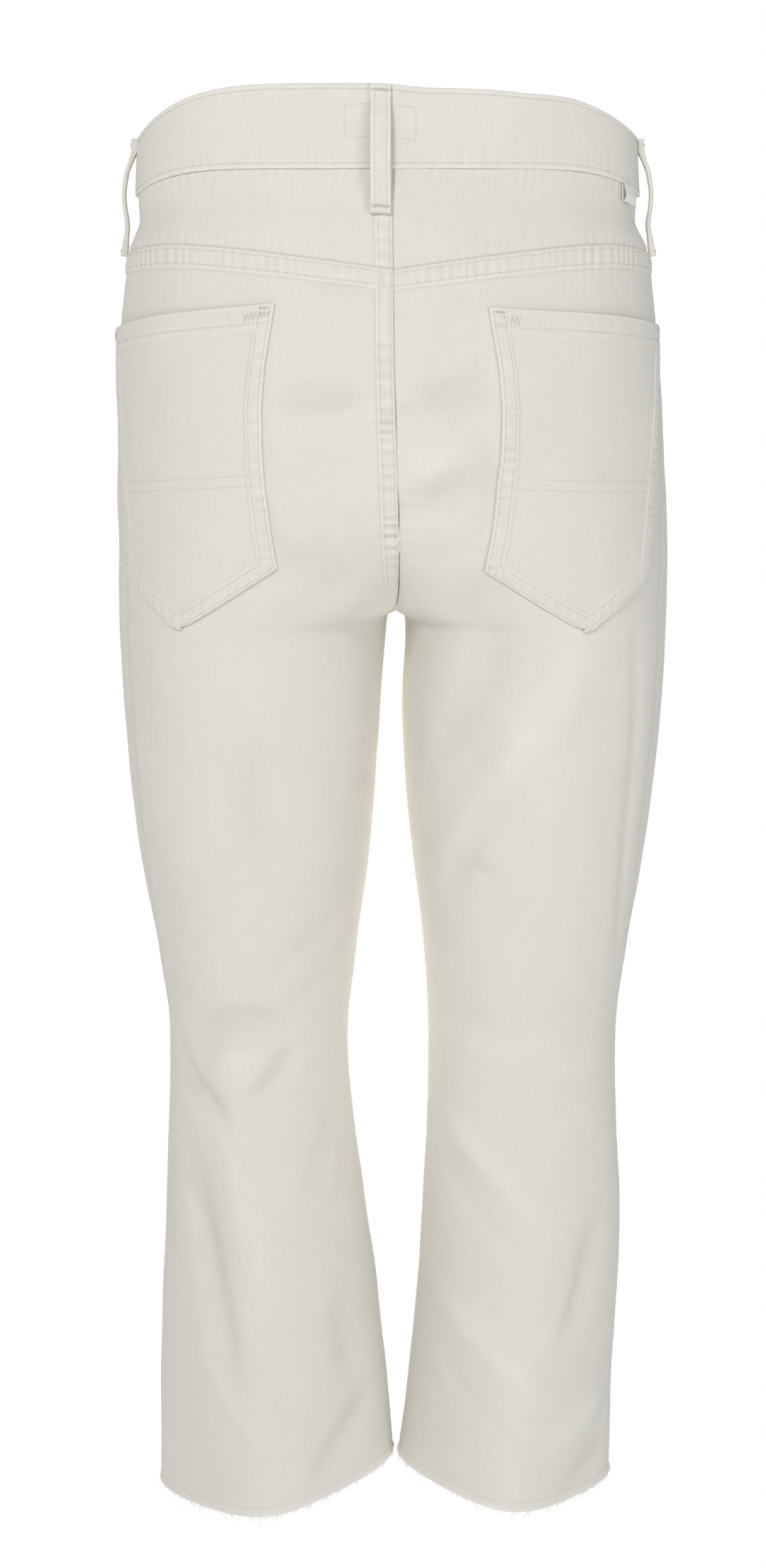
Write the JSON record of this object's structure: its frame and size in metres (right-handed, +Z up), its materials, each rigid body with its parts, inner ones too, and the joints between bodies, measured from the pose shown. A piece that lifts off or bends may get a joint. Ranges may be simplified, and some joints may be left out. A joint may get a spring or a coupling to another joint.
{
  "type": "cropped kick-flare jeans",
  "caption": "Cropped kick-flare denim trousers in worn, filled-out form: waistband with belt loops, yokes, back patch pockets, front scoop pockets, zip fly and raw hems.",
  "frame": {"origin": "middle of the waist, level with the waistband at the sides, 12 mm above its seam there", "axes": "+Z up, the wearer faces -Y, +X is the wearer's left"},
  "size_m": [0.3488, 0.2127, 0.9272],
  "materials": {
    "denim": "off-white stretch denim twill",
    "tab_ribbon": "plain woven ribbon",
    "metal": "brushed"
  },
  "bodies": {
    "root": {"back_left": "denim", "back_right": "denim", "yoke_left": "denim", "yoke_right": "denim", "front_left": "denim", "front_right": "denim", "pocket_facing_left": "denim", "pocket_facing_right": "denim", "back_pocket_left": "denim", "back_pocket_right": "denim", "waistband": "denim", "belt_loop_back": "denim", "belt_loop_side_left": "denim", "belt_loop_side_right": "denim", "belt_loop_front_left": "denim", "belt_loop_front_right": "denim", "fly_shield": "denim", "zip": "metal", "button": "metal", "side_tab": "tab_ribbon"}
  },
  "joints": []
}
